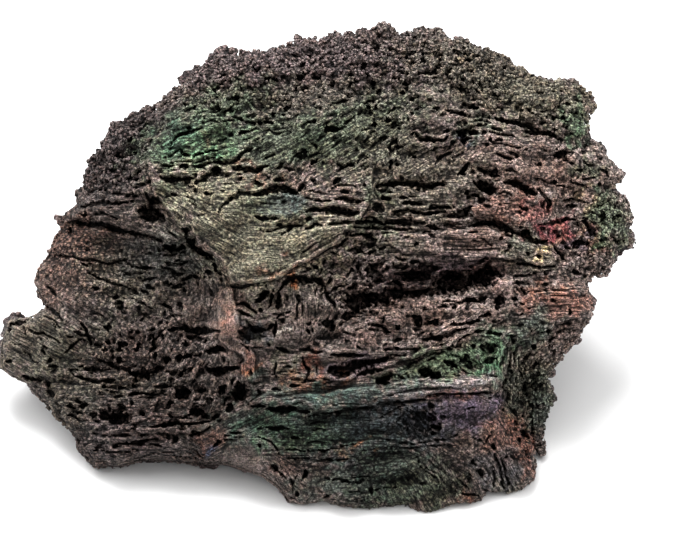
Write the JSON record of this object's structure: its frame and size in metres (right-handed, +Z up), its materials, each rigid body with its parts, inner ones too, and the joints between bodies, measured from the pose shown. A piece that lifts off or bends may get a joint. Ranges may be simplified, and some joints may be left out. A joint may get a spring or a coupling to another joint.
{
  "type": "turgite mineral specimen",
  "caption": "Hand-sized turgite specimen: a spongy dark iron-oxide lump with a leaf-shaped plate, broken ledges, deep hollows and a knobbly crown",
  "frame": {"origin": "centre of the underside of the bounding box, on the floor the lump rests on", "axes": "+X runs along the lump's longest extent, to the right seen from the broad face; the broad face looks towards -Y and up; +Z is up"},
  "size_m": [0.1004, 0.066, 0.0466],
  "materials": {
    "turgite": "dull to faintly metallic dark brown iron oxide, spongy and granular, with green, bronze, plum and rust films"
  },
  "bodies": {
    "root": {"turgite_specimen": "turgite"}
  },
  "joints": []
}
